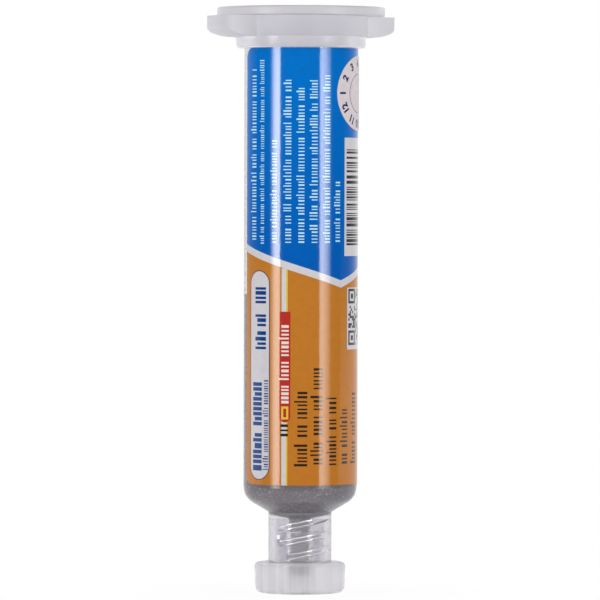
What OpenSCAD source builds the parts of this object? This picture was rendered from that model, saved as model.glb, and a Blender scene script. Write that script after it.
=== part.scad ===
// Solder paste syringe, filled and capped, standing on its tip cap.
// Z runs up the syringe's axis from the foot of the tip cap to the end cap.
// The front of the label faces -Y. Sizes are in millimetres.

/* [Barrel] */
// Outside diameter of the tube
barrel_d = 18.6; // [18.2:0.1:19]
// Wall thickness of the tube
barrel_wall = 1.3; // [1.1:0.05:1.4]
// Wall thickness of the shoulder
shoulder_wall = 0.9; // [0.8:0.05:1.1]
// Length of the straight tube between the shoulder and the ring
tube_h = 71.84; // [60:0.01:90]
// Slope of the shoulder above the horizontal, in degrees
shoulder_slope = 30; // [25:1:35]
// Radius where the tube turns into the shoulder
shoulder_round = 3; // [2.5:0.1:3.5]

/* [Luer lock hub] */
// Outside diameter of the lock collar
collar_d = 10.35; // [10:0.05:10.8]
// Diameter inside the lock collar, at the root of its thread
collar_bore_d = 8; // [7.9:0.05:8.1]
// Height of the lock collar below the shoulder
collar_h = 8.15; // [7.9:0.05:9]
// Depth of the space inside the lock collar
collar_depth = 7.1; // [6.5:0.1:7.2]
// How far the tip stands out of the collar
tip_reach = 2.2; // [2.1:0.1:2.6]
// Diameter of the tip at its end
tip_d = 3.96; // [3.93:0.01:4.02]
// Taper of the tip, as diameter over length
tip_taper = 0.06; // [0.06]
// Diameter of the hole through the tip
tip_bore_d = 2.4; // [2:0.1:2.6]

/* [Flange] */
// Height of the ring under the flange
ring_h = 1.8; // [1.5:0.1:3]
// Diameter of the ring where it meets the flange
ring_top_d = 21.5; // [21:0.1:22]
// Diameter of the ring at its lower edge
ring_base_d = 21.16; // [21:0.02:21.4]
// Thickness of the flange
flange_h = 3.4; // [2.5:0.1:4]
// Diameter of the flange between its wings
flange_d = 21.9; // [21.6:0.1:24]
// Reach of each wing from the axis
wing_reach = 15.9; // [14.5:0.1:17]
// Width of each wing
wing_w = 8.2; // [7:0.1:10]
// Radius of the wings' corners, seen from above
wing_corner = 1.2; // [0.8:0.1:2]
// How far the wings are turned from the side towards the front, in degrees
wing_turn = 27; // [0:1:45]
// Length of the rounding under each wing's end
wing_lift_l = 4.7; // [2:0.1:4.9]
// Height of the rounding under each wing's end
wing_lift_h = 1.7; // [1:0.05:2.2]

/* [End cap] */
// Diameter of the lid
lid_d = 27.56; // [26:0.02:29]
// Thickness of the lid
lid_h = 1.45; // [1.2:0.05:2]
// Length of the plug that enters the barrel
plug_h = 4.6; // [4.4:0.1:6]
// Wall of the plug
plug_wall = 1.4; // [1.2:0.1:1.6]

/* [Piston] */
// Height of the sealing edge of the piston above the foot of the tip cap
piston_z = 49; // [30:0.1:70]
// Length of the piston above its sealing edge
piston_h = 10.4; // [9:0.1:12]
// Width of each sealing land
land_h = 1.6; // [1.2:0.1:2]
// Wall of the piston's cup
cup_wall = 1.4; // [1.2:0.1:1.6]

/* [Tip cap] */
// Height of the cap's grip
grip_h = 5; // [4.9:0.1:6]
// Diameter of the grip at its top
grip_top_d = 14.9; // [14:0.1:16]
// Diameter of the grip at its foot
grip_base_d = 14.6; // [14:0.1:14.9]
// Radius round the foot of the grip
grip_foot_round = 1; // [0.6:0.1:1.2]
// Diameter of the stem that enters the lock collar
stem_d = 6.8; // [6.6:0.05:6.9]
// Height of the stem above the grip
stem_h = 5.2; // [4.5:0.1:5.8]
// Thickness of the floor under the socket
socket_floor = 0.8; // [0.7:0.1:1.2]

/* [Label] */
// Length of the label along the tube
label_h = 71.2; // [59:0.1:71.6]
// Angle that the label wraps round the tube, in degrees
label_wrap = 317; // [280:1:330]
// Angle from the front of the tube to the label's left edge, in degrees
label_left = 70.5; // [60:0.5:90]
// Radius of the label's corners
label_corner = 1.8; // [1:0.1:3]
// Thickness of the label
label_t = 0.1; // [0.08:0.01:0.15]
// Diameter of the round sticker
sticker_d = 12.3; // [10:0.1:13]
// Height of the sticker's centre above the foot of the tip cap
sticker_z = 81.8; // [78:0.1:82.5]
// Angle from the front of the tube to the sticker's centre, in degrees
sticker_turn = 76; // [40:1:100]

/* [Hidden] */

$fn = 96;
arc_steps = 8;
seat_gap = 0.05;     // between pieces that slide in or rest on each other
film_gap = 0.03;     // between the paste and the wall that it wets
luer_gap = 0.03;     // between the tip and the cap's socket, along the radius
edge_round = 0.3;    // rounding of small moulded edges
neck_round = 0.5;    // fillet where the collar meets the shoulder
root_round = 0.5;    // fillet at the tip's root inside the collar
ring_round = 0.45;
grip_top_round = 0.7;
lid_round = 0.35;
label_gap = 0.05;    // between the label and the ring above it
nose_flat_r = 2;     // flat end of the piston's nose
waist_cut = 0.4;     // depth of the piston's waist

front_az = -90;      // direction of the label's front, counted from +X

barrel_r = barrel_d / 2;
bore_r = barrel_r - barrel_wall;
collar_r = collar_d / 2;
collar_bore_r = collar_bore_d / 2;
tip_bore_r = tip_bore_d / 2;

collar_z = grip_h + 2 * seat_gap;
neck_z = collar_z + collar_h;
ceiling_z = collar_z + collar_depth;
tip_z = collar_z - tip_reach;

// The shoulder's rounding is centred where the straight tube begins.
turn_r = barrel_r - shoulder_round;
shoulder_z = neck_z + (turn_r + shoulder_round * sin(shoulder_slope) - collar_r)
    * tan(shoulder_slope) + shoulder_round * cos(shoulder_slope);
inner_turn_z = shoulder_z - (barrel_wall - shoulder_wall) / cos(shoulder_slope);
ring_z = shoulder_z + tube_h;
flange_z = ring_z + ring_h;
mouth_z = flange_z + flange_h;
lid_z = mouth_z + seat_gap;

function arc(center, r, from, to) =
    [for (i = [0 : arc_steps]) let (a = from + (to - from) * i / arc_steps)
        [center[0] + r * cos(a), center[1] + r * sin(a)]];

function reversed(list) = [for (i = [len(list) - 1 : -1 : 0]) list[i]];

// Radius of the Luer taper at a height
function tip_r(z) = tip_d / 2 + (z - tip_z) * tip_taper / 2;

// The wall of the barrel's inside from the end of the tip up to the tube, moved inwards by a gap
function inside_path(gap) =
    let (
        r = shoulder_round - barrel_wall - gap,
        turn = arc([turn_r, inner_turn_z], r, shoulder_slope - 90, 0),
        hole_r = tip_bore_r - gap,
        hole_top = turn[0][1] - (turn[0][0] - hole_r) * tan(shoulder_slope)
    )
    concat([[hole_r, tip_z], [hole_r, hole_top]], turn);

module barrel() {
    tip_chamfer = 0.2;
    mouth_chamfer = 0.4;
    profile = concat(
        [[tip_bore_r, tip_z], [tip_d / 2 - tip_chamfer, tip_z], [tip_r(tip_z + tip_chamfer), tip_z + tip_chamfer]],
        arc([tip_r(ceiling_z - root_round) + root_round, ceiling_z - root_round], root_round, 180, 90),
        [[collar_bore_r, ceiling_z]],
        [[collar_bore_r, collar_z + edge_round], [collar_bore_r + edge_round, collar_z]],
        arc([collar_r - edge_round, collar_z + edge_round], edge_round, -90, 0),
        arc([collar_r + neck_round, neck_z - neck_round * tan(shoulder_slope)], neck_round,
            180, 90 + shoulder_slope),
        arc([turn_r, shoulder_z], shoulder_round, shoulder_slope - 90, 0),
        [[barrel_r, ring_z]],
        arc([ring_base_d / 2 - ring_round, ring_z + ring_round], ring_round, -90, 0),
        [[ring_top_d / 2, flange_z], [flange_d / 2, flange_z]],
        arc([flange_d / 2 - edge_round, mouth_z - edge_round], edge_round, 0, 90),
        [[bore_r + mouth_chamfer, mouth_z], [bore_r, mouth_z - mouth_chamfer]],
        reversed(inside_path(0))
    );
    color([0.85, 0.86, 0.88]) {
        rotate_extrude() polygon(profile);
        flange_wings();
    }
}

// Two opposite wings with flat tops. Their undersides curve up towards the ends.
module flange_wings() {
    lift_r = wing_reach - wing_lift_l;
    lift = [for (i = [0 : arc_steps]) let (a = -90 + 90 * i / arc_steps)
        [lift_r + wing_lift_l * cos(a), flange_z + wing_lift_h * (1 + sin(a))]];
    rounded_top = arc([wing_reach - edge_round, mouth_z - edge_round], edge_round, 0, 90);
    difference() {
        intersection() {
            rotate_extrude() polygon(concat([[0, flange_z]], lift, rounded_top, [[0, mouth_z]]));
            rotate([0, 0, wing_turn]) translate([0, 0, flange_z])
                linear_extrude(flange_h) for (side = [0, 180]) rotate(side) wing_outline();
        }
        translate([0, 0, flange_z - 1]) cylinder(r = flange_d / 2 - barrel_wall, h = flange_h + 2);
    }
}

// A wing seen from above, along +X: straight sides, an end on the reach circle and round corners
module wing_outline() {
    side = wing_w / 2;
    corner = [sqrt(pow(wing_reach - wing_corner, 2) - pow(side - wing_corner, 2)), side - wing_corner];
    translate([0, -side]) square([corner[0], wing_w]);
    for (y = [-1, 1]) translate([corner[0], y * corner[1]]) circle(wing_corner);
    intersection() {
        circle(wing_reach);
        polygon([[0, 0], 2 * corner, 2 * [corner[0], -corner[1]]]);
    }
}

module end_cap() {
    plug_r = bore_r - seat_gap;
    plug_z = lid_z - plug_h;
    lead = 0.4;
    top_z = lid_z + lid_h;
    profile = concat(
        [[0, lid_z], [plug_r - plug_wall, lid_z], [plug_r - plug_wall, plug_z]],
        [[plug_r - lead, plug_z], [plug_r, plug_z + 2 * lead], [plug_r, lid_z]],
        arc([lid_d / 2 - edge_round, lid_z + edge_round], edge_round, -90, 0),
        arc([lid_d / 2 - lid_round, top_z - lid_round], lid_round, 0, 90),
        [[0, top_z]]
    );
    color([0.84, 0.84, 0.86]) rotate_extrude() polygon(profile);
}

// A hollow follower with two sealing lands and a nose that fits the shoulder
module piston() {
    land_r = bore_r - seat_gap;
    cup_r = land_r - waist_cut - cup_wall;
    slope = tan(shoulder_slope);
    nose_z = piston_z - (land_r - nose_flat_r) * slope;
    top_z = piston_z + piston_h;
    floor_z = nose_z + cup_wall / cos(shoulder_slope);
    profile = [
        [0, nose_z], [nose_flat_r, nose_z], [land_r, piston_z],
        [land_r, piston_z + land_h], [land_r - waist_cut, piston_z + land_h + waist_cut],
        [land_r - waist_cut, top_z - land_h - waist_cut], [land_r, top_z - land_h],
        [land_r, top_z - edge_round], [land_r - edge_round, top_z],
        [cup_r, top_z], [cup_r, floor_z + (cup_r - nose_flat_r) * slope], [nose_flat_r, floor_z], [0, floor_z]
    ];
    color([0.93, 0.93, 0.92]) rotate_extrude() polygon(profile);
}

// The filling: tube, shoulder and the hole through the tip, under the piston's nose
module solder_paste() {
    slope = tan(shoulder_slope);
    top_z = piston_z - seat_gap;
    column_r = bore_r - film_gap;
    dip_z = top_z - (column_r - nose_flat_r) * slope;
    color([0.45, 0.43, 0.46]) rotate_extrude()
        polygon(concat([[0, tip_z]], inside_path(film_gap), [[column_r, top_z], [nose_flat_r, dip_z], [0, dip_z]]));
}

// A round grip with a stem inside the lock collar. The tapered socket closes on the tip.
module tip_cap() {
    stem_top = grip_h + stem_h;
    socket_r = tip_r(socket_floor) + luer_gap;
    mouth_r = tip_r(stem_top) + luer_gap;
    lead = 0.2;
    profile = concat(
        [[0, 0]],
        arc([grip_base_d / 2 - grip_foot_round, grip_foot_round], grip_foot_round, -90, 0),
        arc([grip_top_d / 2 - grip_top_round, grip_h - grip_top_round], grip_top_round, 0, 90),
        [[stem_d / 2, grip_h], [stem_d / 2, stem_top - lead], [stem_d / 2 - lead, stem_top]],
        [[mouth_r + lead, stem_top], [mouth_r, stem_top - lead], [socket_r, socket_floor], [0, socket_floor]]
    );
    color([0.82, 0.81, 0.83]) rotate_extrude() polygon(profile);
}

module label() {
    label_z = ring_z - label_gap - label_h;
    left_az = front_az - label_left;
    color([0.1, 0.42, 0.72]) difference() {
        rotate([0, 0, left_az]) rotate_extrude(angle = label_wrap)
            translate([barrel_r, label_z]) square([label_t, label_h]);
        for (side = [-1, 1], end = [-1, 1])
            rotate([0, 0, side < 0 ? left_az : left_az + label_wrap])
                translate([barrel_r - 1, 0, end < 0 ? label_z : label_z + label_h])
                    rotate([90, 0, 90]) linear_extrude(2) corner_cut(side, end);
    }
}

// What rounding a corner of the label takes away: two chords of its arc, run on past the edges
module corner_cut(side, end) {
    near = label_corner * [1 - cos(30), 1 - sin(30)];
    edge = [0, label_corner];
    past = edge + (edge - near) / 2;
    points = [past, near, [near[1], near[0]], [past[1], past[0]], -label_corner * [1, 1]];
    polygon([for (p = points) [-side * p[0], -end * p[1]]]);
}

module date_sticker() {
    inner_r = barrel_r + label_t;
    color([0.84, 0.8, 0.82]) intersection() {
        translate([0, 0, sticker_z - sticker_d]) difference() {
            cylinder(r = inner_r + label_t, h = 2 * sticker_d);
            translate([0, 0, -1]) cylinder(r = inner_r, h = 2 * sticker_d + 2);
        }
        rotate([0, 0, front_az + sticker_turn]) translate([0, 0, sticker_z])
            rotate([0, 90, 0]) cylinder(d = sticker_d, h = barrel_d);
    }
}

barrel();
end_cap();
piston();
solder_paste();
tip_cap();
label();
date_sticker();
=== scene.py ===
import math
import random

import bmesh
import bpy
from mathutils import Matrix, Vector


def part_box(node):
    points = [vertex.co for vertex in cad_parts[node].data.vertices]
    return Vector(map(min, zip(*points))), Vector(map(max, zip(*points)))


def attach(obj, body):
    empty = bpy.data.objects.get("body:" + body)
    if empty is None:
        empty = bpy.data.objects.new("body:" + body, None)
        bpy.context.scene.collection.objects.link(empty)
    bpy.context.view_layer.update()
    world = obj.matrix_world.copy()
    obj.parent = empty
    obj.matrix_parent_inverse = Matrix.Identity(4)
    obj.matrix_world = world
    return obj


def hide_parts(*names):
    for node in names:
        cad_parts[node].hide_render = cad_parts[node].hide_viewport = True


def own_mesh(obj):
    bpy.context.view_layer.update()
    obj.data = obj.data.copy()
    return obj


# Solder paste syringe standing on its tip cap. Pieces are drawn in millimetres and go into
# the scene in metres. +Z runs up the barrel, and -Y is the side with the front of the label.

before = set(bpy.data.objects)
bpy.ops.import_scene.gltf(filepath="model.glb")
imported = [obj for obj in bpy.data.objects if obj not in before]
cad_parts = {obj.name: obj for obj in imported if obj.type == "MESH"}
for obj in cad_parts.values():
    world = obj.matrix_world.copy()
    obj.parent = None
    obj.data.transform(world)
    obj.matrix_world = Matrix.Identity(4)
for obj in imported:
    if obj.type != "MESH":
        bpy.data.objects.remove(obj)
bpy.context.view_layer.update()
mm = 0.001
frontAngle = -90  # degrees from +X to the front of the label


def spanOf(node):  # lowest and highest height of a CAD node, in mm
    low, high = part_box(node)
    return low.z / mm, high.z / mm


tipZ, mouthZ = spanOf("barrel")
lidPlugZ, lidTopZ = spanOf("end_cap")
pasteTopZ = spanOf("solder_paste")[1]
stemTopZ = spanOf("tip_cap")[1]
labelLowZ, labelHighZ = spanOf("label")
print("frame: %.1f mm tall, label %.1f to %.1f mm" % (lidTopZ, labelLowZ, labelHighZ))


# Materials

def principled(name, **values):
    material = bpy.data.materials.new(name)
    material.use_nodes = True
    shader = material.node_tree.nodes["Principled BSDF"]
    for key, value in values.items():
        socket = shader.inputs[key.replace("_", " ")]
        socket.default_value = (*value, 1) if isinstance(value, tuple) else value
    return material, shader


def addNode(material, kind, **values):
    node = material.node_tree.nodes.new(kind)
    for key, value in values.items():
        if hasattr(node, key):
            setattr(node, key, value)
        else:
            node.inputs[key.replace("_", " ")].default_value = value
    return node


def join(material, *chain):  # links pairs of (from socket, to socket)
    for start, end in zip(chain[::2], chain[1::2]):
        material.node_tree.links.new(start, end)


def noiseOn(material, scale, stretch=(1, 1, 1), detail=3.0):  # scale is in waves a metre
    place = addNode(material, "ShaderNodeTexCoord")
    mapping = addNode(material, "ShaderNodeMapping", Scale=stretch)
    noise = addNode(material, "ShaderNodeTexNoise", Scale=scale, Detail=detail)
    join(material, place.outputs["Object"], mapping.inputs["Vector"],
         mapping.outputs["Vector"], noise.inputs["Vector"])
    return noise


def rampBetween(material, value, socket, low, high, start=0.3, end=0.7):
    ramp = addNode(material, "ShaderNodeMapRange")
    ramp.inputs["From Min"].default_value = start
    ramp.inputs["From Max"].default_value = end
    ramp.inputs["To Min"].default_value = low
    ramp.inputs["To Max"].default_value = high
    join(material, value, ramp.inputs["Value"], ramp.outputs["Result"], socket)


def colourBetween(material, value, socket, low, high, start=0.3, end=0.7):
    ramp = addNode(material, "ShaderNodeValToRGB")
    ramp.color_ramp.elements[0].position = start
    ramp.color_ramp.elements[1].position = end
    ramp.color_ramp.elements[0].color = (*low, 1)
    ramp.color_ramp.elements[1].color = (*high, 1)
    join(material, value, ramp.inputs["Fac"], ramp.outputs["Color"], socket)
    return ramp


def bumpFrom(material, shader, value, depth, strength=0.3):  # depth in mm
    bump = addNode(material, "ShaderNodeBump", Strength=strength, Distance=depth * mm)
    join(material, value, bump.inputs["Height"], bump.outputs["Normal"], shader.inputs["Normal"])


def tinted(colour, share):
    return tuple(channel * share for channel in colour)


plainPlastic = {"cloudScale": 90, "cloudStretch": 0.4, "grainScale": 1400, "grainStretch": 0.5,
                "draw": 0.02, "drawScale": 800, "drawStretch": 0.02, "drawRange": (0.3, 0.7),
                "litThrough": False}
plastics = {  # each row adds to the plain one, or takes its place
    "clear": {"colour": (0.79, 0.795, 0.835), "clarity": 0.95, "rough": (0.08, 0.10),
              "shine": 0.38, "grain": 0.001},
    "shoulder": {"colour": (0.865, 0.855, 0.885), "clarity": 0.93, "rough": (0.18, 0.22),
                 "shine": 0.72, "grain": 0.003},
    "hazy": {"colour": (0.752, 0.742, 0.795), "clarity": 0.55, "rough": (0.56, 0.62),
             "shine": 0.3, "grain": 0.01, "litThrough": True},
    "lid": {"colour": (0.715, 0.702, 0.747), "clarity": 0.58, "rough": (0.28, 0.34),
            "shine": 0.4, "grain": 0.006, "litThrough": True},
    "ring": {"colour": (0.855, 0.84, 0.90), "clarity": 0.48, "rough": (0.13, 0.17),
             "shine": 0.5, "grain": 0.004},
    "frosted": {"colour": (0.775, 0.757, 0.80), "clarity": 0.6, "rough": (0.36, 0.44),
                "shine": 0.4, "grain": 0.012, "litThrough": True,
                "draw": 0.13, "drawScale": 950, "drawRange": (0.42, 0.58)},
    "collar": {"colour": (0.83, 0.815, 0.865), "clarity": 0.84, "rough": (0.16, 0.2),
               "shine": 0.5, "grain": 0.005},
    "stem": {"colour": (0.83, 0.815, 0.865), "clarity": 0.86, "rough": (0.04, 0.06),
             "shine": 0.5, "grain": 0.003},
    "socket": {"colour": (0.7, 0.69, 0.715), "clarity": 0.86, "rough": (0.1, 0.16),
               "shine": 0.4, "grain": 0.003, "draw": 0.2, "drawScale": 600},
}


def mouldedPlastic(name):
    look = plainPlastic | plastics[name]
    material, shader = principled(name + "Plastic", Base_Color=look["colour"], IOR=1.49,
                                  Transmission_Weight=look["clarity"],
                                  Specular_IOR_Level=look["shine"])
    cloud = noiseOn(material, look["cloudScale"], stretch=(1, 1, look["cloudStretch"]))
    rampBetween(material, cloud.outputs["Fac"], shader.inputs["Roughness"], *look["rough"])
    drawn = tinted(look["colour"], 1 - look["draw"])  # faint upright lines that the mould leaves
    lines = noiseOn(material, look["drawScale"], stretch=(1, 1, look["drawStretch"]), detail=2)
    colourBetween(material, lines.outputs["Fac"], shader.inputs["Base Color"],
                  drawn, look["colour"], *look["drawRange"])
    grain = noiseOn(material, look["grainScale"], stretch=(1, 1, look["grainStretch"]), detail=2)
    bumpFrom(material, shader, grain.outputs["Fac"], look["grain"])
    if look["litThrough"]:
        letLampsThrough(material, shader)
    return material


def letLampsThrough(material, shader):  # light passes the haze, so that nothing under it is black
    path = addNode(material, "ShaderNodeLightPath")
    clear = addNode(material, "ShaderNodeBsdfTransparent")
    surface = shader.outputs["BSDF"]
    for ray in ("Is Shadow Ray", "Is Diffuse Ray"):
        mix = addNode(material, "ShaderNodeMixShader")
        join(material, path.outputs[ray], mix.inputs["Fac"], surface, mix.inputs[1],
             clear.outputs["BSDF"], mix.inputs[2])
        surface = mix.outputs["Shader"]
    join(material, surface, material.node_tree.nodes["Material Output"].inputs["Surface"])


pistonLook = {"dark": (0.82, 0.82, 0.81), "pale": (0.88, 0.88, 0.87), "rough": 0.42,
              "cloudScale": 140, "grainScale": 1800, "grain": 0.04}


def pistonPlastic():
    look = pistonLook
    material, shader = principled("pistonPlastic", Roughness=look["rough"])
    cloud = noiseOn(material, look["cloudScale"])
    colourBetween(material, cloud.outputs["Fac"], shader.inputs["Base Color"],
                  look["dark"], look["pale"])
    grain = noiseOn(material, look["grainScale"], detail=2)
    bumpFrom(material, shader, grain.outputs["Fac"], look["grain"])
    return material


pasteLook = {"dark": (0.089, 0.071, 0.097), "pale": (0.183, 0.154, 0.193), "rough": 0.62,
             "smearScale": 190, "smearStretch": (0.3, 0.3, 1.6), "smearRange": (0.36, 0.66),
             "streak": (0.33, 0.3, 0.34), "streakScale": 260, "streakStretch": (0.07, 0.07, 2.2),
             "streakRange": (0.52, 0.72), "cover": 0.6,
             # grain is the colour of the light specks: the metal powder's own grain, partly painted
             # glints of its sparkle
             "grain": (0.5, 0.475, 0.51), "grainScale": 3000, "grainAndGlintRange": (0.57, 0.68),
             "relief": 0.05, "reliefStrength": 0.4}


def pasteMaterial():
    look = pasteLook
    material, shader = principled("greyPaste", Roughness=look["rough"])
    smear = noiseOn(material, look["smearScale"], stretch=look["smearStretch"], detail=4)
    base = colourBetween(material, smear.outputs["Fac"], shader.inputs["Base Color"],
                         look["dark"], look["pale"], *look["smearRange"])
    bands = noiseOn(material, look["streakScale"], stretch=look["streakStretch"], detail=3)
    streaked = addNode(material, "ShaderNodeMix", data_type="RGBA")
    streaked.inputs["B"].default_value = (*look["streak"], 1)
    rampBetween(material, bands.outputs["Fac"], streaked.inputs["Factor"],
                0, look["cover"], *look["streakRange"])
    # light specks over the paste: the powder's grain, partly painted glints; the same noise gives the
    # paste its real relief
    grainAndGlintNoise = noiseOn(material, look["grainScale"], detail=1)
    grainAndGlintMix = addNode(material, "ShaderNodeMix", data_type="RGBA")
    grainAndGlintMix.inputs["B"].default_value = (*look["grain"], 1)
    rampBetween(material, grainAndGlintNoise.outputs["Fac"], grainAndGlintMix.inputs["Factor"],
                0, look["cover"], *look["grainAndGlintRange"])
    join(material, base.outputs["Color"], streaked.inputs["A"],
         streaked.outputs["Result"], grainAndGlintMix.inputs["A"],
         grainAndGlintMix.outputs["Result"], shader.inputs["Base Color"])
    bumpFrom(material, shader, grainAndGlintNoise.outputs["Fac"], look["relief"], look["reliefStrength"])
    return material


wholeLabel, blueField, ochreField = (18, 89), (50, 89), (18, 50)  # heights in mm over which an ink darkens towards the foot
inks = {
    "blue": {"top": (0.0, 0.168, 0.6), "foot": (0.0, 0.1, 0.445), "over": blueField, "shine": 0.65},
    "ochre": {"top": (0.50, 0.185, 0.024), "foot": (0.50, 0.178, 0.022), "over": ochreField,
              "shine": 0.36},
    "white": {"top": (0.64, 0.625, 0.66), "foot": (0.60, 0.585, 0.62), "over": wholeLabel},
    "navy": {"top": (0.018, 0.03, 0.10), "foot": (0.018, 0.03, 0.10), "over": wholeLabel},
    "charcoal": {"top": (0.024, 0.023, 0.034), "foot": (0.024, 0.023, 0.034), "over": wholeLabel},
    "markBlue": {"top": (0.003, 0.052, 0.23), "foot": (0.003, 0.05, 0.22), "over": ochreField},
    "markWhite": {"top": (0.5, 0.80, 0.92), "foot": (0.48, 0.76, 0.9), "over": blueField},
    "markCream": {"top": (0.80, 0.68, 0.62), "foot": (0.80, 0.68, 0.62), "over": ochreField},
    "red": {"top": (0.46, 0.03, 0.022), "foot": (0.44, 0.03, 0.022), "over": ochreField},
    "yellow": {"top": (0.72, 0.52, 0.05), "foot": (0.70, 0.50, 0.05), "over": ochreField},
    "black": {"top": (0.028, 0.02, 0.016), "foot": (0.028, 0.02, 0.016), "over": ochreField},
    "bare": {"top": (0.62, 0.62, 0.64), "foot": (0.60, 0.60, 0.62), "over": wholeLabel},
}
varnish = {"rough": 0.1, "shine": 0.5, "speckleScale": 1100, "speckleShade": (0.9, 0.9, 0.9),
           "speckleCover": 0.6, "rippleScale": 420, "rippleRoughness": 0.8, "ripple": 0.024}


def ink(name):  # printed film under clear varnish, its colour slightly darker towards the foot of the tube
    look = varnish | inks[name]
    material, shader = principled(name + "Ink", Roughness=look["rough"],
                                  Specular_IOR_Level=look["shine"])
    place = addNode(material, "ShaderNodeTexCoord")
    parts = addNode(material, "ShaderNodeSeparateXYZ")
    join(material, place.outputs["Object"], parts.inputs["Vector"])
    height = addNode(material, "ShaderNodeMapRange")
    for key, level in zip(("From Min", "From Max"), look["over"]):
        height.inputs[key].default_value = level * mm
    join(material, parts.outputs["Z"], height.inputs["Value"])
    fade = colourBetween(material, height.outputs["Result"], shader.inputs["Base Color"],
                         look["foot"], look["top"], 0, 1)
    speckle = noiseOn(material, look["speckleScale"], detail=2)
    shade = addNode(material, "ShaderNodeMix", data_type="RGBA", blend_type="MULTIPLY")
    shade.inputs["B"].default_value = (*look["speckleShade"], 1)
    rampBetween(material, speckle.outputs["Fac"], shade.inputs["Factor"], 0, look["speckleCover"])
    join(material, fade.outputs["Color"], shade.inputs["A"],
         shade.outputs["Result"], shader.inputs["Base Color"])
    ripple = noiseOn(material, look["rippleScale"], detail=4)
    ripple.inputs["Roughness"].default_value = look["rippleRoughness"]
    bumpFrom(material, shader, ripple.outputs["Fac"], look["ripple"])
    return material


paperLook = {"dark": (0.62, 0.55, 0.59), "pale": (0.70, 0.635, 0.665), "rough": 0.55,
             "fibreScale": 900, "fibre": 0.02}


def stickerPaper():
    look = paperLook
    material, shader = principled("stickerPaper", Roughness=look["rough"])
    fibre = noiseOn(material, look["fibreScale"], detail=4)
    colourBetween(material, fibre.outputs["Fac"], shader.inputs["Base Color"],
                  look["dark"], look["pale"])
    bumpFrom(material, shader, fibre.outputs["Fac"], look["fibre"])
    return material


plasticOf = {name: mouldedPlastic(name) for name in plastics}
greyPaste = pasteMaterial()
inkOf = {name: ink(name) for name in inks}
print("materials ready")


# Shared modelling steps

weld = 0.0001  # mm, points closer than this count as one
sharpAngle = 30


def arcPoints(centre, radius, start, end, steps):  # angles in degrees
    angles = [math.radians(start + (end - start) * i / steps) for i in range(steps + 1)]
    return [(centre[0] + radius * math.cos(a), centre[1] + radius * math.sin(a)) for a in angles]


def turned(points, closed=False, steps=160):  # spins an outline of (radius, height) round the axis
    bm = bmesh.new()
    corners = [bm.verts.new((r, 0, z)) for r, z in points]
    pairs = list(zip(corners, corners[1:]))
    if closed:
        pairs.append((corners[-1], corners[0]))
    edges = [bm.edges.new(pair) for pair in pairs]
    bmesh.ops.spin(bm, geom=corners + edges, cent=(0, 0, 0), axis=(0, 0, 1), dvec=(0, 0, 0),
                   angle=2 * math.pi, steps=steps, use_merge=True, use_duplicate=False)
    bmesh.ops.remove_doubles(bm, verts=bm.verts, dist=weld)
    bmesh.ops.recalc_face_normals(bm, faces=bm.faces)
    return bm


def objectOf(name, bm, *materials):  # a mesh drawn in mm becomes an object in metres
    bmesh.ops.scale(bm, vec=(mm, mm, mm), verts=bm.verts)
    mesh = bpy.data.meshes.new(name)
    bm.to_mesh(mesh)
    bm.free()
    for material in materials:
        mesh.materials.append(material)
    piece = bpy.data.objects.new(name, mesh)
    bpy.context.scene.collection.objects.link(piece)
    return piece


def combined(piece, operation, *others):  # booleans with the other objects, applied
    for other in others:
        step = piece.modifiers.new("combine", "BOOLEAN")
        step.operation = operation
        step.solver = "EXACT"
        step.object = other
    whole = piece.evaluated_get(bpy.context.evaluated_depsgraph_get())
    mesh = bpy.data.meshes.new_from_object(whole)
    piece.modifiers.clear()
    piece.data = mesh
    for other in others:
        bpy.data.objects.remove(other)
    return piece


def smooth(piece):
    piece.data.shade_smooth()
    piece.data.set_sharp_from_angle(angle=math.radians(sharpAngle))


def settle(piece, body, slot, *nodes):  # its body, its slot, which is not used, and the CAD nodes that it stands for
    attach(piece, body)
    if nodes:
        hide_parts(*nodes)
    return piece


def helixRidge(shape, lead, startAngle, startZ, turns, steps=96):  # climbs round the axis
    root, crest = shape["root"], shape["crest"]
    rootHalf, crestHalf = shape["rootWidth"] / 2, shape["crestWidth"] / 2
    bm = bmesh.new()
    corners = [(root, -rootHalf), (root, rootHalf), (crest, crestHalf), (crest, -crestHalf)]
    section = bm.faces.new([bm.verts.new((r, 0, z)) for r, z in corners])
    count = round(steps * turns)
    geometry = [section, *section.edges, *section.verts]
    bmesh.ops.rotate(bm, verts=section.verts, cent=(0, 0, 0),
                     matrix=Matrix.Rotation(math.radians(startAngle), 3, "Z"))
    bmesh.ops.translate(bm, verts=section.verts, vec=(0, 0, startZ))
    bmesh.ops.spin(bm, geom=geometry, cent=(0, 0, 0), axis=(0, 0, 1), angle=2 * math.pi * turns,
                   dvec=(0, 0, lead * turns / count), steps=count, use_merge=False,
                   use_duplicate=False)
    for v in bm.verts:  # both ends run out into the wall that carries the ridge
        along = (math.degrees(math.atan2(v.co.y, v.co.x)) - startAngle + 1) % 360 - 1
        runs = along / shape["runOut"], (360 * turns - along) / shape["runOut"]
        depth = max(shape["endDepth"], min(1, *runs))
        radius = v.co.to_2d().length
        share = (root + (radius - root) * depth) / radius
        v.co.x *= share
        v.co.y *= share
    bmesh.ops.recalc_face_normals(bm, faces=bm.faces)
    return bm


# Barrel: tube, shoulder, tip, lock collar, ring and winged flange in one moulding

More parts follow.
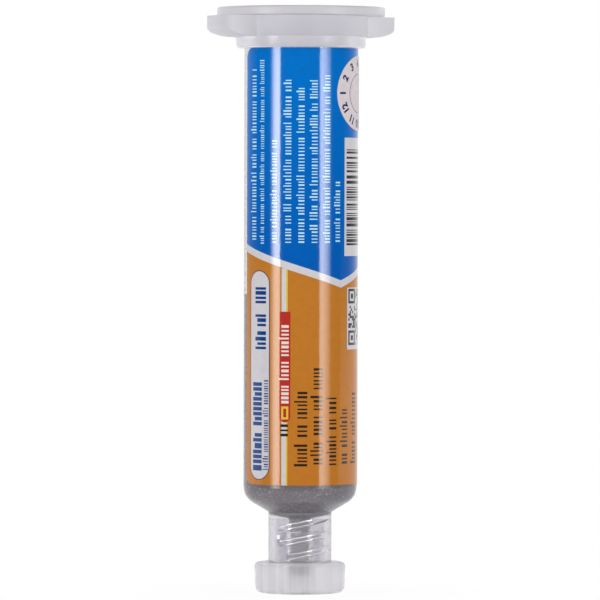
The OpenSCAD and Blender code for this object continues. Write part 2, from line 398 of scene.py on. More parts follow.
barrelShape = {
    "radius": 9.3, "bore": 8.0, "shoulderSlope": 30, "shoulderRound": 3.0, "shoulderWall": 0.9,
    "floorRadius": 3.6, "floorZ": 12.95, "floorFall": 0.25, "seam": 0.04, "seamRise": 0.06,
    "collarRadius": 5.175, "collarBore": 4.0, "collarZ": 5.1, "ceilingZ": 12.2,
    "neckZ": 13.25, "neckRound": 0.5,
    "tipRadius": 1.98, "tipTaper": 0.03, "tipBore": 1.2, "tipEdge": 0.2, "rootRound": 0.5,
    "shoulderZ": 17.364, "ringZ": 89.204, "ringBase": 10.58, "ringTop": 10.75, "ringRound": 0.45,
    "flangeZ": 91.004, "flangeRadius": 10.95, "edgeRound": 0.3, "flangeRound": 0.12,
    "mouthChamfer": 0.4, "underLabel": 0.05,
}
wingShape = {"reach": 15.9, "width": 8.2, "corner": 1.2, "turn": 27, "liftLength": 4.7,
             "liftHeight": 1.7, "inner": 9.6, "liftSteps": 14, "slabHeight": 8, "bulge": 1.1}
collarThread = {"lead": 5.0, "root": barrelShape["collarBore"] + 0.15, "crest": 3.66,
                "rootWidth": 1.19, "crestWidth": 0.5, "runOut": 18, "endDepth": 0.05,
                "frontZ": 8.85, "from": -60, "to": 190, "lowZ": 5.85, "topZ": 12.5}


def insidePath(gap):  # the barrel's inner wall from the tip up to the tube, moved inwards by gap
    b = barrelShape
    centreR = b["radius"] - b["shoulderRound"]
    radius = b["shoulderRound"] - (b["radius"] - b["bore"]) - gap
    drop = (b["radius"] - b["bore"] - b["shoulderWall"]) / math.cos(math.radians(b["shoulderSlope"]))
    bend = arcPoints((centreR, b["shoulderZ"] - drop), radius, b["shoulderSlope"] - 90, 0, 8)
    hole = b["tipBore"] - gap
    floor = (b["floorRadius"] - gap, b["floorZ"] + gap)
    return [(hole, tipZ), (hole, floor[1] - (floor[0] - hole) * b["floorFall"]), floor] + bend


def barrelBody():
    b = barrelShape
    slope = b["shoulderSlope"]
    edge, root, seam, rim = b["edgeRound"], b["rootRound"], b["seam"], b["flangeRound"]
    outline = [(b["tipBore"], tipZ), (b["tipRadius"] - b["tipEdge"], tipZ),
               (b["tipRadius"], tipZ + b["tipEdge"])]
    tipTop = b["tipRadius"] + (b["ceilingZ"] - root - tipZ) * b["tipTaper"]
    outline += arcPoints((tipTop + root, b["ceilingZ"] - root), root, 180, 90, 5)
    outline += [(b["collarBore"], b["ceilingZ"])]
    outline += [(b["collarBore"], b["collarZ"] + edge), (b["collarBore"] + edge, b["collarZ"])]
    outline += arcPoints((b["collarRadius"] - edge, b["collarZ"] + edge), edge, -90, 0, 4)
    neckDrop = b["neckRound"] * math.tan(math.radians(slope))
    neck = (b["collarRadius"] + b["neckRound"], b["neckZ"] - neckDrop)
    outline += arcPoints(neck, b["neckRound"], 180, 90 + slope, 5)
    bend = (b["radius"] - seam - b["shoulderRound"], b["shoulderZ"])
    outline += arcPoints(bend, b["shoulderRound"], slope - 90, 0, 12)
    outline += [(b["radius"], b["shoulderZ"] + b["seamRise"])]
    outline += [(b["radius"], labelLowZ + b["underLabel"]), (b["radius"], b["ringZ"])]
    ringEdge = (b["ringBase"] - b["ringRound"], b["ringZ"] + b["ringRound"])
    outline += arcPoints(ringEdge, b["ringRound"], -90, 0, 5)
    outline += [(b["ringTop"], b["flangeZ"]), (b["flangeRadius"], b["flangeZ"])]
    outline += arcPoints((b["flangeRadius"] - rim, mouthZ - rim), rim, 0, 90, 4)
    outline += [(b["bore"] + b["mouthChamfer"], mouthZ), (b["bore"], mouthZ - b["mouthChamfer"])]
    outline += insidePath(0)[::-1]
    return turned(outline, closed=True)


def wingPair():  # a disc with a lifted rim, cut to two wings by a slab with round corners
    w = wingShape
    low, edge = barrelShape["flangeZ"], barrelShape["flangeRound"]
    outline = [(w["inner"], mouthZ), (w["inner"], low)]
    liftStart = w["reach"] - w["liftLength"]
    for i in range(w["liftSteps"] + 1):
        lift = math.pi / 2 * i / w["liftSteps"]
        outline.append((liftStart + w["liftLength"] * math.sin(lift),
                        low + w["liftHeight"] * (1 - math.cos(lift))))
    outline += arcPoints((w["reach"] - edge, mouthZ - edge), edge, 0, 90, 4)
    disc = objectOf("flangeWings", turned(outline, closed=True, steps=240))
    slab = bmesh.new()
    made = bmesh.ops.create_cube(slab, size=1)
    cornerY = w["width"] / 2 - w["corner"]
    length = 2 * math.sqrt((w["reach"] - w["corner"]) ** 2 - cornerY ** 2) + 2 * w["corner"]
    bmesh.ops.scale(slab, vec=(length, w["width"], w["slabHeight"]), verts=made["verts"])
    uprights = [e for e in slab.edges if abs(e.verts[0].co.z - e.verts[1].co.z) > 1]
    bmesh.ops.bevel(slab, geom=uprights, offset=w["corner"], affect="EDGES", segments=8,
                    profile=0.5, material=-1)
    for v in slab.verts:  # the ends bulge past the rim, so that the disc's own rim stays in the middle
        if abs(v.co.y) < cornerY + 0.01:
            v.co.x *= w["bulge"]
    turn = Matrix.Rotation(math.radians(w["turn"]), 3, "Z")
    bmesh.ops.transform(slab, matrix=turn, verts=slab.verts)
    bmesh.ops.translate(slab, vec=(0, 0, mouthZ - w["slabHeight"] / 4), verts=slab.verts)
    return combined(disc, "INTERSECT", objectOf("slab", slab))


def collarRidges():  # the two starts cross the front half a lead apart, and stay off the left side
    t = collarThread
    for half in (-1, 0, 1):
        frontZ = t["frontZ"] + half * t["lead"] / 2
        first = max(t["from"], (t["lowZ"] - frontZ) / t["lead"] * 360)
        last = min(t["to"], (t["topZ"] - frontZ) / t["lead"] * 360)
        startZ = frontZ + first / 360 * t["lead"]
        turns = (last - first) / 360
        yield objectOf("ridge", helixRidge(t, t["lead"], frontAngle + first, startZ, turns))


def buildBarrel():
    barrel = objectOf("barrelMoulding", barrelBody())
    combined(barrel, "UNION", wingPair(), *collarRidges())
    zones = ((barrelShape["neckZ"], "stem"), (labelLowZ, "shoulder"),
             (barrelShape["ringZ"] + 0.02, "clear"), (barrelShape["flangeZ"] - 0.01, "ring"),
             (mouthZ, "hazy"))  # each zone's top and its plastic, from the tip up
    barrel.data.materials.clear()
    for top, plastic in zones:
        barrel.data.materials.append(plasticOf[plastic])
    barrel.data.materials.append(plasticOf["collar"])
    skinRadius = (barrelShape["collarRadius"] - 0.2) * mm
    for polygon in barrel.data.polygons:
        zone = sum(polygon.center.z / mm > top for top, plastic in zones[:-1])
        onSkin = polygon.center.to_2d().length > skinRadius
        polygon.material_index = len(zones) if zone == 0 and onSkin else zone
    smooth(barrel)
    return settle(barrel, "barrel", "clear_plastic", "barrel")


buildBarrel()
print("barrel ready")


# End cap and piston

capShape = {"radius": 13.78, "thickness": 1.45, "edgeRound": 0.15, "topRound": 0.35,
            "plugRadius": 7.95, "plugWall": 1.4, "lead": 0.4}


def buildEndCap():
    c = capShape
    edge, top = c["edgeRound"], c["topRound"]
    under = lidTopZ - c["thickness"]
    hollow = c["plugRadius"] - c["plugWall"]
    outline = [(0, under), (hollow, under), (hollow, lidPlugZ), (c["plugRadius"] - c["lead"], lidPlugZ)]
    outline += [(c["plugRadius"], lidPlugZ + 2 * c["lead"]), (c["plugRadius"], under)]
    outline += arcPoints((c["radius"] - edge, under + edge), edge, -90, 0, 5)
    outline += arcPoints((c["radius"] - top, lidTopZ - top), top, 0, 90, 6)
    outline += [(0, lidTopZ)]
    cap = objectOf("lidMoulding", turned(outline), plasticOf["lid"])
    smooth(cap)
    return settle(cap, "end_cap", "frosted_plastic", "end_cap")


buildEndCap()
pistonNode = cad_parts["piston"]
pistonNode.data.materials.clear()
pistonNode.data.materials.append(pistonPlastic())
print("end cap and piston ready")


# Paste: a column in the tube, and what fills the shoulder and the tip

pasteShape = {"overlap": 0.02, "coreRadius": 7.9, "noseRadius": 2.0, "pressed": 0.001}


def buildPaste():
    p = pasteShape
    slope = math.tan(math.radians(barrelShape["shoulderSlope"]))
    reach = barrelShape["bore"] + p["overlap"]
    wall = insidePath(-p["overlap"])
    foot = wall[-1][1]
    dip = (reach - p["coreRadius"]) * slope
    outline = [(reach, foot), (reach, pasteTopZ),
               (p["coreRadius"], pasteTopZ - dip), (p["coreRadius"], foot - dip)]
    column = objectOf("pasteColumn", turned(outline, closed=True), greyPaste)
    smooth(column)
    settle(column, "barrel", "paste", "solder_paste")
    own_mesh(column)
    nose = foot - (reach - p["noseRadius"]) * slope
    outline = [(0, tipZ)] + wall[:-1] + [(reach, foot), (p["noseRadius"], nose), (0, nose)]
    shoulder = objectOf("pasteInShoulder", turned(outline), greyPaste)
    smooth(shoulder)
    settle(shoulder, "barrel", "paste", "solder_paste")


buildPaste()
print("paste ready")


# Tip cap: grip, threaded stem and tapered socket

tipCapShape = {"gripZ": 5.0, "gripTop": 7.45, "gripFoot": 7.3, "footRound": 1.0, "topRound": 0.7,
               "stem": 3.4, "socketFloor": 0.8, "socketRadius": 1.947, "socketTaper": 0.03, "lead": 0.2}
stemThread = {"root": tipCapShape["stem"] - 0.15, "crest": 3.82, "rootWidth": 1.6, "crestWidth": 0.7,
              "runOut": 18, "endDepth": 0.05, "turns": 0.72, "lowZ": 6.55}


def buildTipCap():
    c = tipCapShape
    mouth = c["socketRadius"] + (stemTopZ - c["socketFloor"]) * c["socketTaper"]
    foot, top = c["footRound"], c["topRound"]
    outline = [(0, 0)] + arcPoints((c["gripFoot"] - foot, foot), foot, -90, 0, 8)
    outline += arcPoints((c["gripTop"] - top, c["gripZ"] - top), top, 0, 90, 5)
    outline += [(c["stem"], c["gripZ"]), (c["stem"], stemTopZ - c["lead"])]
    outline += [(c["stem"] - c["lead"], stemTopZ), (mouth + c["lead"], stemTopZ)]
    outline += [(mouth, stemTopZ - c["lead"])]
    outline += [(c["socketRadius"], c["socketFloor"]), (0, c["socketFloor"])]
    cap = objectOf("tipCapMoulding", turned(outline))
    s, lead = stemThread, collarThread["lead"]
    rise = s["lowZ"] - collarThread["frontZ"] - lead / 4  # the stem's ridges lie between the collar's
    ridges = []
    for start in (0, 180):
        angle = frontAngle + start + rise / lead * 360
        ridges.append(objectOf("lug%d" % start, helixRidge(s, lead, angle, s["lowZ"], s["turns"])))
    combined(cap, "UNION", *ridges)
    cap.data.materials.clear()
    for plastic in ("frosted", "stem", "socket"):
        cap.data.materials.append(plasticOf[plastic])
    stemZ, socketRadius, footZ = (c["gripZ"] + 0.01) * mm, (c["stem"] - 0.3) * mm, 0.1 * mm
    for polygon in cap.data.polygons:
        inSocket = polygon.center.to_2d().length < socketRadius and polygon.center.z > footZ
        polygon.material_index = 1 if polygon.center.z > stemZ else 2 if inSocket else 0
    smooth(cap)
    return settle(cap, "tip_cap", "frosted_plastic", "tip_cap")


buildTipCap()
print("tip cap ready")


# Label and its print, drawn flat with x along the tube's skin and z up, then wrapped round it

labelShape = {
    "under": 9.297, "over": 9.4, "left": 68.9, "wrap": 317, "corner": 1.8, "slice": 0.41,
    "stripe": 1.2, "apex": (7.24, 51.30), "leftRise": 0.3185, "rightRise": 0.344, "level": 26.2,
    "bedding": 0.004, "ink": 0.008, "layer": 0.002,
}  # left and wrap in degrees; ink is the lowest layer of print, and each one over it adds a layer
skin = labelShape["over"]
labelLeft = -math.radians(labelShape["left"]) * skin
labelRight = labelLeft + math.radians(labelShape["wrap"]) * skin


def everything(bm):
    return bm.verts[:] + bm.edges[:] + bm.faces[:]


def addBlock(bm, left, right, low, high):  # a flat rectangle on the label
    turn = Matrix.Rotation(math.pi / 2, 4, "X")
    place = Matrix.Translation(((left + right) / 2, 0, (low + high) / 2))
    size = Matrix.Diagonal((right - left, high - low, 1, 1))
    made = bmesh.ops.create_grid(bm, x_segments=1, y_segments=1, size=0.5, matrix=place @ turn @ size)
    return made["verts"]


def cutUpright(bm, s, dist=weld):  # a cut all the way up at the place s along the skin
    bmesh.ops.bisect_plane(bm, geom=everything(bm), dist=dist, plane_co=(s, 0, 0), plane_no=(1, 0, 0))


def sliced(bm):  # cuts at the same places on every sheet, so that they bend alike
    step = labelShape["slice"]
    low = min(v.co.x for v in bm.verts)
    high = max(v.co.x for v in bm.verts)
    for i in range(math.ceil(low / step), math.floor(high / step) + 1):
        cutUpright(bm, i * step, weld / 10)


def wrapped(bm, under, over):  # gives a flat drawing its thickness and bends it round the tube
    sliced(bm)
    bmesh.ops.translate(bm, verts=bm.verts, vec=(0, -over, 0))
    back = bmesh.ops.extrude_face_region(bm, geom=bm.faces[:], use_keep_orig=True)
    moved = [v for v in back["geom"] if isinstance(v, bmesh.types.BMVert)]
    bmesh.ops.translate(bm, verts=moved, vec=(0, over - under, 0))
    for v in bm.verts:
        angle = v.co.x / skin
        radius = -v.co.y
        v.co = (radius * math.sin(angle), -radius * math.cos(angle), v.co.z)
    bmesh.ops.recalc_face_normals(bm, faces=bm.faces)
    return bm


def slantAt(s):  # height of the foot of the blue field
    apexS, apexZ = labelShape["apex"]
    if s < apexS:
        return apexZ + (apexS - s) * labelShape["leftRise"]
    return apexZ + (min(s, labelShape["level"]) - apexS) * labelShape["rightRise"]


def buildLabel():
    shape = labelShape
    bm = bmesh.new()
    corners = addBlock(bm, labelLeft, labelRight, labelLowZ, labelHighZ)
    bmesh.ops.bevel(bm, geom=corners, offset=shape["corner"], affect="VERTICES", segments=6,
                    profile=0.5, material=-1)
    bends = (labelLeft, shape["apex"][0], shape["level"], labelRight)
    for s in bends[1:-1]:
        cutUpright(bm, s)
    for drop in (0, shape["stripe"]):  # the slanted cuts above and under the white stripe
        for low, high in zip(bends, bends[1:]):
            faces = [f for f in bm.faces if low < f.calc_center_median().x < high]
            part = set(faces)
            for f in faces:
                part.update(f.edges)
                part.update(f.verts)
            a = Vector((low, 0, slantAt(low) - drop))
            b = Vector((high, 0, slantAt(high) - drop))
            across = (b - a).cross(Vector((0, 1, 0))).normalized()
            bmesh.ops.bisect_plane(bm, geom=list(part), dist=weld, plane_co=a, plane_no=across)
    for f in bm.faces:
        centre = f.calc_center_median()
        foot = slantAt(centre.x)
        f.material_index = 0 if centre.z > foot else 1 if centre.z > foot - shape["stripe"] else 2
    wrapped(bm, shape["under"], shape["over"])
    backRadius = (shape["under"] + shape["over"]) / 2
    for f in bm.faces:
        centre = f.calc_center_median()
        if centre.to_2d().length < backRadius and abs(f.normal.z) < 0.5:
            f.material_index = 3
    label = objectOf("labelFilm", bm, inkOf["blue"], inkOf["white"], inkOf["ochre"], inkOf["bare"])
    smooth(label)
    return settle(label, "barrel", "label_film", "label")


def printed(name, bm, inkName, layer=1):
    over = skin + labelShape["ink"] + layer * labelShape["layer"]
    wrapped(bm, skin - labelShape["bedding"], over)
    sheet = objectOf(name, bm, inkOf[inkName])
    smooth(sheet)
    return settle(sheet, "barrel", "label_film")


photoRows = {"labelTop": 47.35, "height": 0.16224}  # row of the label's top, of 600, and mm a row


def rowZ(row):  # height on the tube's front of a pixel row
    return labelHighZ - (row - photoRows["labelTop"]) * photoRows["height"]


def addFrame(bm, left, right, low, high, wall):  # a hollow rectangle
    verts = addBlock(bm, left, right, low, high)
    face = verts[0].link_faces[0]
    bmesh.ops.inset_individual(bm, faces=[face], thickness=wall, use_even_offset=True)
    bmesh.ops.delete(bm, geom=[face], context="FACES")


def addPill(bm, left, right, low, high, slack=0.01):  # slack keeps the two ends' corners apart
    verts = addBlock(bm, left, right, low, high)
    bmesh.ops.bevel(bm, geom=verts, offset=(right - left) / 2 - slack, affect="VERTICES",
                    segments=10, profile=0.5, material=-1)


# Rows of tally strokes that say nothing. They run up the tube: base is the row's foot line in mm,
# the strokes' tops point left, and top and foot are the pixel rows where it ends and starts.
tally = {"widths": (1, 1, 1.5), "gaps": (0.85, 1.2), "firstGroup": (3, 8), "group": (3, 14),
         "space": 0.5}
whiteRows = [(-8.25, 1.1, 66, 240), (-6.45, 0.72, 60, 244), (-3.95, 0.95, 140, 243),
             (-1.55, 0.98, 76, 243), (0.6, 0.98, 86, 243), (2.78, 0.98, 78, 243),
             (5.0, 0.98, 74, 243), (7.05, 0.95, 180, 242)]  # base, height, top, foot
blackRows = [(1.15, 1.6, 391, 467), (3.75, 1.55, 368, 465), (6.35, 1.4, 397, 466),
             (8.95, 1.35, 409, 465), (11.9, 1.4, 394, 465)]
rowPrint = {"stroke": 0.17, "smallStroke": 0.12, "smallHeight": 0.8, "gap": 1.8, "seed": 20,
            "blackStroke": 0.26, "blackGap": 1.35, "blackSeed": 40}


def markRow(bm, base, height, top, foot, seed, stroke=0.2, gap=1.5, lengths=(1, 1, 1, 1, 1.35)):
    choose = random.Random(seed)
    z, high = rowZ(foot), rowZ(top)
    left = choose.randint(*tally["firstGroup"])
    while z < high - stroke:
        tall = height * choose.choice(lengths)
        width = stroke * choose.choice(tally["widths"])
        addBlock(bm, base - tall, base, z, z + width)
        z += width + stroke * gap * choose.choice(tally["gaps"])
        left -= 1
        if left == 0:
            z += height * tally["space"]
            left = choose.randint(*tally["group"])


def buildRows():
    p = rowPrint
    white = bmesh.new()
    for i, row in enumerate(whiteRows):
        stroke = p["stroke"] if row[1] > p["smallHeight"] else p["smallStroke"]
        markRow(white, *row, seed=p["seed"] + i, stroke=stroke, gap=p["gap"])
    printed("whiteMarks", white, "markWhite")
    black = bmesh.new()
    for i, row in enumerate(blackRows):
        markRow(black, *row, seed=p["blackSeed"] + i, stroke=p["blackStroke"], gap=p["blackGap"])
    printed("blackMarks", black, "black")


capsuleShape = {"left": -9.75, "right": -5.26, "low": 18.75, "high": 52.9, "line": 0.14}
capsuleRows = [dict(base=-6.0, height=2.4, top=foot - 20, foot=foot, seed=foot, stroke=0.42,
                    gap=0.55, lengths=(1, 1, 0.8)) for foot in (350, 327, 304)]
capsuleRows += [dict(base=-6.85, height=2.1, top=379, foot=472, seed=5, stroke=0.6,
                     gap=0.4, lengths=(1, 1, 1, 0.8)),
                dict(base=-5.52, height=0.85, top=381, foot=471, seed=9, stroke=0.15)]


def buildCapsule():
    c, line = capsuleShape, capsuleShape["line"]
    edge = bmesh.new()
    addPill(edge, c["left"], c["right"], c["low"], c["high"])
    printed("capsuleOutline", edge, "navy")
    field = bmesh.new()
    addPill(field, c["left"] + line, c["right"] - line, c["low"] + line, c["high"] - line)
    printed("capsuleField", field, "white", 3)
    marks = bmesh.new()
    for row in capsuleRows:
        markRow(marks, **row)
    printed("capsuleMarks", marks, "markBlue", 5)


bannerShape = {"lines": (("lineWhite", "white", -3.12, -2.36, -2.7),  # left, right, top's place
                         ("lineYellow", "yellow", -2.36, -2.1, -2.2)),
               "flag": (-3.47, -1.63), "flagRows": (312, 423), "corner": 0.9,
               "block": (-3.15, -1.95), "blockRows": (407, 420), "blockWall": 0.35}
bannerRows = {"cream": dict(base=-1.9, height=1.25, top=323, foot=404, seed=13, stroke=0.3, gap=0.9),
              "dark": dict(base=-2.0, height=1.3, top=425, foot=437, seed=15, stroke=0.3)}


def buildBanner():
    b = bannerShape
    for name, inkName, left, right, s in b["lines"]:  # each ends where the slant stands at s
        line = bmesh.new()
        addBlock(line, left, right, labelLowZ, slantAt(s) - labelShape["stripe"])
        printed(name, line, inkName, 0)
    banner = bmesh.new()
    top, low = (rowZ(row) for row in b["flagRows"])
    verts = addBlock(banner, *b["flag"], low, top)
    foot = [v for v in verts if v.co.z < (top + low) / 2]
    bmesh.ops.bevel(banner, geom=foot, offset=b["corner"], affect="VERTICES", segments=6,
                    profile=0.5, material=-1)
    printed("bannerRed", banner, "red", 2)
    marks = bmesh.new()
    markRow(marks, **bannerRows["cream"])
    printed("bannerMarks", marks, "markCream", 4)
    block = bmesh.new()
    top, low = (rowZ(row) for row in b["blockRows"])
    addFrame(block, *b["block"], low, top, b["blockWall"])
    printed("bannerBlock", block, "yellow", 4)
    dark = bmesh.new()
    markRow(dark, **bannerRows["dark"])
    printed("bannerDark", dark, "black", 2)


panelShape = {"upper": (8.1, 17.0, 55.25, 74.55), "lower": (8.87, 19.0, 40.0, 50.1),
              "bars": (8.6, 16.3, 57.0, 73.1),  # left, right, low and high edges
              "barUnit": 0.17, "barWidths": (1, 1, 2, 3), "seed": 7}
gridShape = {"left": 9.2, "low": 40.7, "cell": 0.4, "count": 23, "square": 6, "filled": 0.48,
             "slit": 0.01}


def buildPanels():
    p, g = panelShape, gridShape
    panel = bmesh.new()
    addBlock(panel, *p["upper"])
    addBlock(panel, *p["lower"])
    printed("panels", panel, "white")
    marks = bmesh.new()
    choose = random.Random(p["seed"])
    left, right, z, high = p["bars"]
    while z < high:
        thick = p["barUnit"] * choose.choice(p["barWidths"])
        addBlock(marks, left, right, z, z + thick)
        z += thick + p["barUnit"] * choose.choice(p["barWidths"])
    cell, square, last = g["cell"], g["square"], g["count"] - g["square"]
    for column in range(g["count"]):
        for row in range(g["count"]):
            nearLeft, nearRight = column <= square, column >= last - 1
            nearFoot, nearTop = row <= square, row >= last - 1
            corner = (nearLeft and (nearFoot or nearTop)) or (nearRight and nearTop)
            if not corner and choose.random() < g["filled"]:
                s, z = g["left"] + column * cell, g["low"] + row * cell
                addBlock(marks, s, s + cell - g["slit"], z, z + cell - g["slit"])
    for column, row in ((0, 0), (0, last), (last, last)):
        s, z = g["left"] + column * cell, g["low"] + row * cell
        addFrame(marks, s, s + square * cell, z, z + square * cell, cell)
        addBlock(marks, s + 2 * cell, s + 4 * cell, z + 2 * cell, z + 4 * cell)
    printed("panelMarks", marks, "charcoal", 3)


buildLabel()
buildRows()
buildCapsule()
buildBanner()
buildPanels()
print("label ready")


# Round sticker with the numbers 1 to 12

stickerShape = {"radius": 6.15, "s": 12.5, "z": 81.8, "thickness": 0.1, "print": 0.01,
                "numberRing": 4.85, "numberSize": 1.75, "numberWeight": 0.045,
                "innerRing": 3.2, "ringLine": 0.1}


def numberFaces(bm, number, turn, place):  # a number from Blender's own font, flat on the label
    size = stickerShape["numberSize"]
    curve = bpy.data.curves.new("number", "FONT")
    curve.body = str(number)
    curve.size = size
    curve.align_x = "CENTER"
    curve.align_y = "CENTER"
    curve.resolution_u = 3
    curve.offset = size * stickerShape["numberWeight"]
    holder = bpy.data.objects.new("number", curve)
    bpy.context.scene.collection.objects.link(holder)
    depsgraph = bpy.context.evaluated_depsgraph_get()
    mesh = bpy.data.meshes.new_from_object(holder.evaluated_get(depsgraph))
    upright = Matrix.Rotation(turn, 4, "Y") @ Matrix.Rotation(math.pi / 2, 4, "X")
    mesh.transform(Matrix.Translation(place) @ upright)
    bm.from_mesh(mesh)
    bpy.data.objects.remove(holder)


def buildSticker():
    s = stickerShape
    over = skin + s["thickness"]
    place = Vector((s["s"], 0, s["z"]))
    flat = Matrix.Translation(place) @ Matrix.Rotation(math.pi / 2, 4, "X")
    disc = bmesh.new()
    bmesh.ops.create_circle(disc, cap_ends=True, radius=s["radius"], segments=72, matrix=flat)
    wrapped(disc, skin - labelShape["bedding"], over)
    sticker = objectOf("roundSticker", disc, stickerPaper())
    smooth(sticker)
    settle(sticker, "barrel", "sticker_paper", "date_sticker")
    marks = bmesh.new()
    for number in range(1, 13):  # 1 at the left, and round clockwise
        around = math.radians(180 - 30 * (number - 1))
        spot = place + Vector((math.cos(around), 0, math.sin(around))) * s["numberRing"]
        numberFaces(marks, number, math.pi / 2 - around, spot)
    ring = bmesh.ops.create_circle(marks, cap_ends=True, radius=s["innerRing"], segments=48, matrix=flat)
    face = ring["verts"][0].link_faces[0]
    bmesh.ops.inset_individual(marks, faces=[face], thickness=s["ringLine"], use_even_offset=True)
    bmesh.ops.delete(marks, geom=[face], context="FACES")
    bmesh.ops.remove_doubles(marks, verts=marks.verts, dist=5 * weld)
    wrapped(marks, over - labelShape["bedding"], over + s["print"])
    numbers = objectOf("stickerNumbers", marks, inkOf["navy"])
    smooth(numbers)
    settle(numbers, "barrel", "sticker_paper")


buildSticker()
print("sticker ready")


# White room, strip lights and camera

roomLook = {"fill": 0.8, "back": 1.35}
stripLights = [
    {"name": "leftStrip", "azimuth": -52.6, "width": 22.0, "radiance": 12.4,
     "falloff": ((0.0, 0.0), (0.2, 0.28), (0.44, 0.85), (0.68, 1.0), (0.93, 1.0), (1.0, 0.6))},
    {"name": "rightStrip", "azimuth": 51.0, "width": 26, "radiance": 9.3,
     "falloff": ((0.0, 0.6), (0.12, 1.0), (0.35, 0.95), (0.7, 0.5), (1.0, 0.0))},
]  # azimuth and width in degrees, falloff from the strip's left to its right
stripPlace = {"distance": 600, "low": -26, "high": 113, "colour": (0.98, 0.965, 0.92)}


def calculate(tree, operation, *values):  # a Math node fed by numbers and sockets
    node = tree.nodes.new("ShaderNodeMath")
    node.operation = operation
    for socket, value in zip(node.inputs, values):
        if isinstance(value, (int, float)):
            socket.default_value = value
        else:
            tree.links.new(value, socket)
    return node.outputs["Value"]


def makeWorld():  # white where it is seen, but mirrored it is dark in front and bright behind
    world = bpy.data.worlds.new("whiteRoom")
    bpy.context.scene.world = world
    world.use_nodes = True
    tree = world.node_tree
    background = tree.nodes["Background"]
    background.inputs["Color"].default_value = (1, 1, 1, 1)
    path = tree.nodes.new("ShaderNodeLightPath")
    place = tree.nodes.new("ShaderNodeTexCoord")
    parts = tree.nodes.new("ShaderNodeSeparateXYZ")
    tree.links.new(place.outputs["Generated"], parts.inputs["Vector"])
    behind = calculate(tree, "MAXIMUM", parts.outputs["Y"], 0)
    glow = calculate(tree, "MULTIPLY", calculate(tree, "POWER", behind, 2), roomLook["back"])
    glow = calculate(tree, "MINIMUM", glow, 1)
    glossy = path.outputs["Is Glossy Ray"]
    mirrored = calculate(tree, "MULTIPLY", glow, glossy)
    plain = calculate(tree, "MULTIPLY", calculate(tree, "SUBTRACT", 1, glossy), roomLook["fill"])
    seen = calculate(tree, "MAXIMUM", path.outputs["Is Camera Ray"],
                     path.outputs["Is Transmission Ray"])
    strength = calculate(tree, "MAXIMUM", calculate(tree, "ADD", mirrored, plain), seen)
    tree.links.new(strength, background.inputs["Strength"])


floorShape = {"halfWidth": 2000, "behind": 3000, "inFront": 60, "colour": (0.9, 0.9, 0.9),
              "shadeFrom": 8, "shadeTo": 40, "shade": 0.94}


def makeFloor():
    f = floorShape
    bm = bmesh.new()
    bmesh.ops.create_grid(bm, x_segments=1, y_segments=1, size=1)
    for v in bm.verts:  # wide and deep behind, short in front so that the label mirrors none of it
        v.co = (v.co.x * f["halfWidth"], f["behind"] if v.co.y > 0 else -f["inFront"], 0)
    material = bpy.data.materials.new("whiteFloor")
    material.use_nodes = True
    tree = material.node_tree
    diffuse = tree.nodes.new("ShaderNodeBsdfDiffuse")
    diffuse.inputs["Color"].default_value = (*f["colour"], 1)
    white = tree.nodes.new("ShaderNodeEmission")
    path = tree.nodes.new("ShaderNodeLightPath")
    place = tree.nodes.new("ShaderNodeTexCoord")
    reach = tree.nodes.new("ShaderNodeVectorMath")
    reach.operation = "LENGTH"
    tree.links.new(place.outputs["Object"], reach.inputs[0])
    share = tree.nodes.new("ShaderNodeMapRange")  # a faint shade round the foot
    for key, value in (("From Min", f["shadeFrom"] * mm), ("From Max", f["shadeTo"] * mm),
                       ("To Min", f["shade"]), ("To Max", 1.0)):
        share.inputs[key].default_value = value
    tree.links.new(reach.outputs["Value"], share.inputs["Value"])
    seen = calculate(tree, "MAXIMUM", path.outputs["Is Camera Ray"],
                     path.outputs["Is Transmission Ray"])
    seen = calculate(tree, "MAXIMUM", seen, path.outputs["Is Glossy Ray"])
    mix = tree.nodes.new("ShaderNodeMixShader")
    tree.links.new(calculate(tree, "MULTIPLY", seen, share.outputs["Result"]), mix.inputs["Fac"])
    tree.links.new(diffuse.outputs["BSDF"], mix.inputs[1])
    tree.links.new(white.outputs["Emission"], mix.inputs[2])
    tree.links.new(mix.outputs["Shader"], tree.nodes["Material Output"].inputs["Surface"])
    floor = objectOf("floor", bm, material)


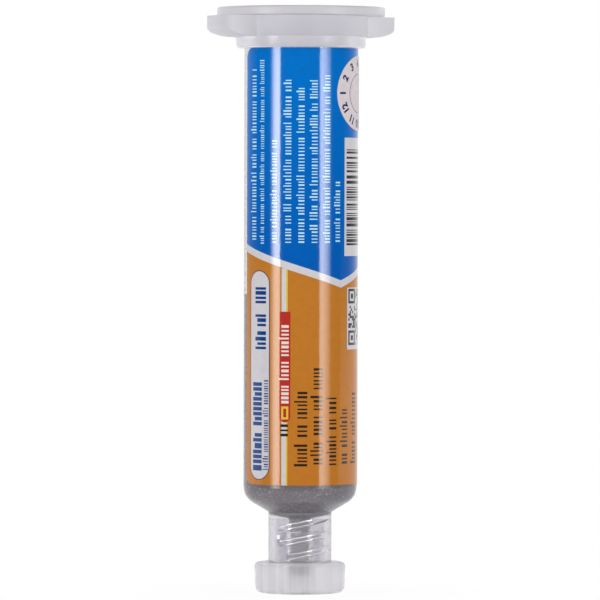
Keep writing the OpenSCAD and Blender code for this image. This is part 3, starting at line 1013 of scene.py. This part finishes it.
def makeStrip(strip):
    azimuth = math.radians(strip["azimuth"])
    width = 2 * stripPlace["distance"] * math.tan(math.radians(strip["width"]) / 2) * mm
    height = (stripPlace["high"] - stripPlace["low"]) * mm
    lamp = bpy.data.lights.new(strip["name"], "AREA")
    lamp.shape = "RECTANGLE"
    lamp.size = width
    lamp.size_y = height
    lamp.energy = strip["radiance"] * math.pi * width * height
    lamp.color = stripPlace["colour"]
    lamp.use_nodes = True
    nodes, links = lamp.node_tree.nodes, lamp.node_tree.links
    across = nodes.new("ShaderNodeNewGeometry")
    parts = nodes.new("ShaderNodeSeparateXYZ")
    ramp = nodes.new("ShaderNodeValToRGB")
    elements = ramp.color_ramp.elements
    for i, (position, level) in enumerate(strip["falloff"]):
        if i < 2:
            elements[i].position = position
        element = elements[i] if i < 2 else elements.new(position)
        element.color = (level, level, level, 1)
    links.new(across.outputs["Parametric"], parts.inputs["Vector"])
    links.new(parts.outputs["X"], ramp.inputs["Fac"])
    links.new(ramp.outputs["Color"], nodes["Emission"].inputs["Color"])
    place = Vector((math.sin(azimuth), -math.cos(azimuth), 0)) * stripPlace["distance"] * mm
    place.z = (stripPlace["high"] + stripPlace["low"]) / 2 * mm
    holder = bpy.data.objects.new(strip["name"], lamp)
    holder.location = place
    holder.rotation_euler = (math.pi / 2, 0, azimuth)
    bpy.context.scene.collection.objects.link(holder)


cameraView = {"distance": 980, "lens": 358.5, "sensor": 36, "aimX": -0.08, "aimZ": 47.97,
              "pitch": 0.95, "roll": 0.14, "nearest": 0.05, "farthest": 50}


def makeCamera():
    view = cameraView
    data = bpy.data.cameras.new("camera")
    data.lens = view["lens"]
    data.sensor_width = view["sensor"]
    data.clip_start = view["nearest"]
    data.clip_end = view["farthest"]
    camera = bpy.data.objects.new("camera", data)
    pitch = math.radians(view["pitch"])
    back = Vector((0, -math.cos(pitch), math.sin(pitch)))
    aim = Vector((view["aimX"], 0, view["aimZ"])) * mm
    look = (-back).to_track_quat("-Z", "Y").to_matrix().to_4x4()
    roll = Matrix.Rotation(math.radians(view["roll"]), 4, "Z")
    camera.matrix_world = Matrix.Translation(aim + back * view["distance"] * mm) @ look @ roll
    bpy.context.scene.collection.objects.link(camera)
    bpy.context.scene.camera = camera


makeWorld()
makeFloor()
for strip in stripLights:
    makeStrip(strip)
makeCamera()
scene = bpy.context.scene
scene.view_settings.view_transform = "Standard"
scene.cycles.max_bounces = 24
scene.cycles.transmission_bounces = 24
scene.cycles.glossy_bounces = 8
print("room, lights and camera ready")
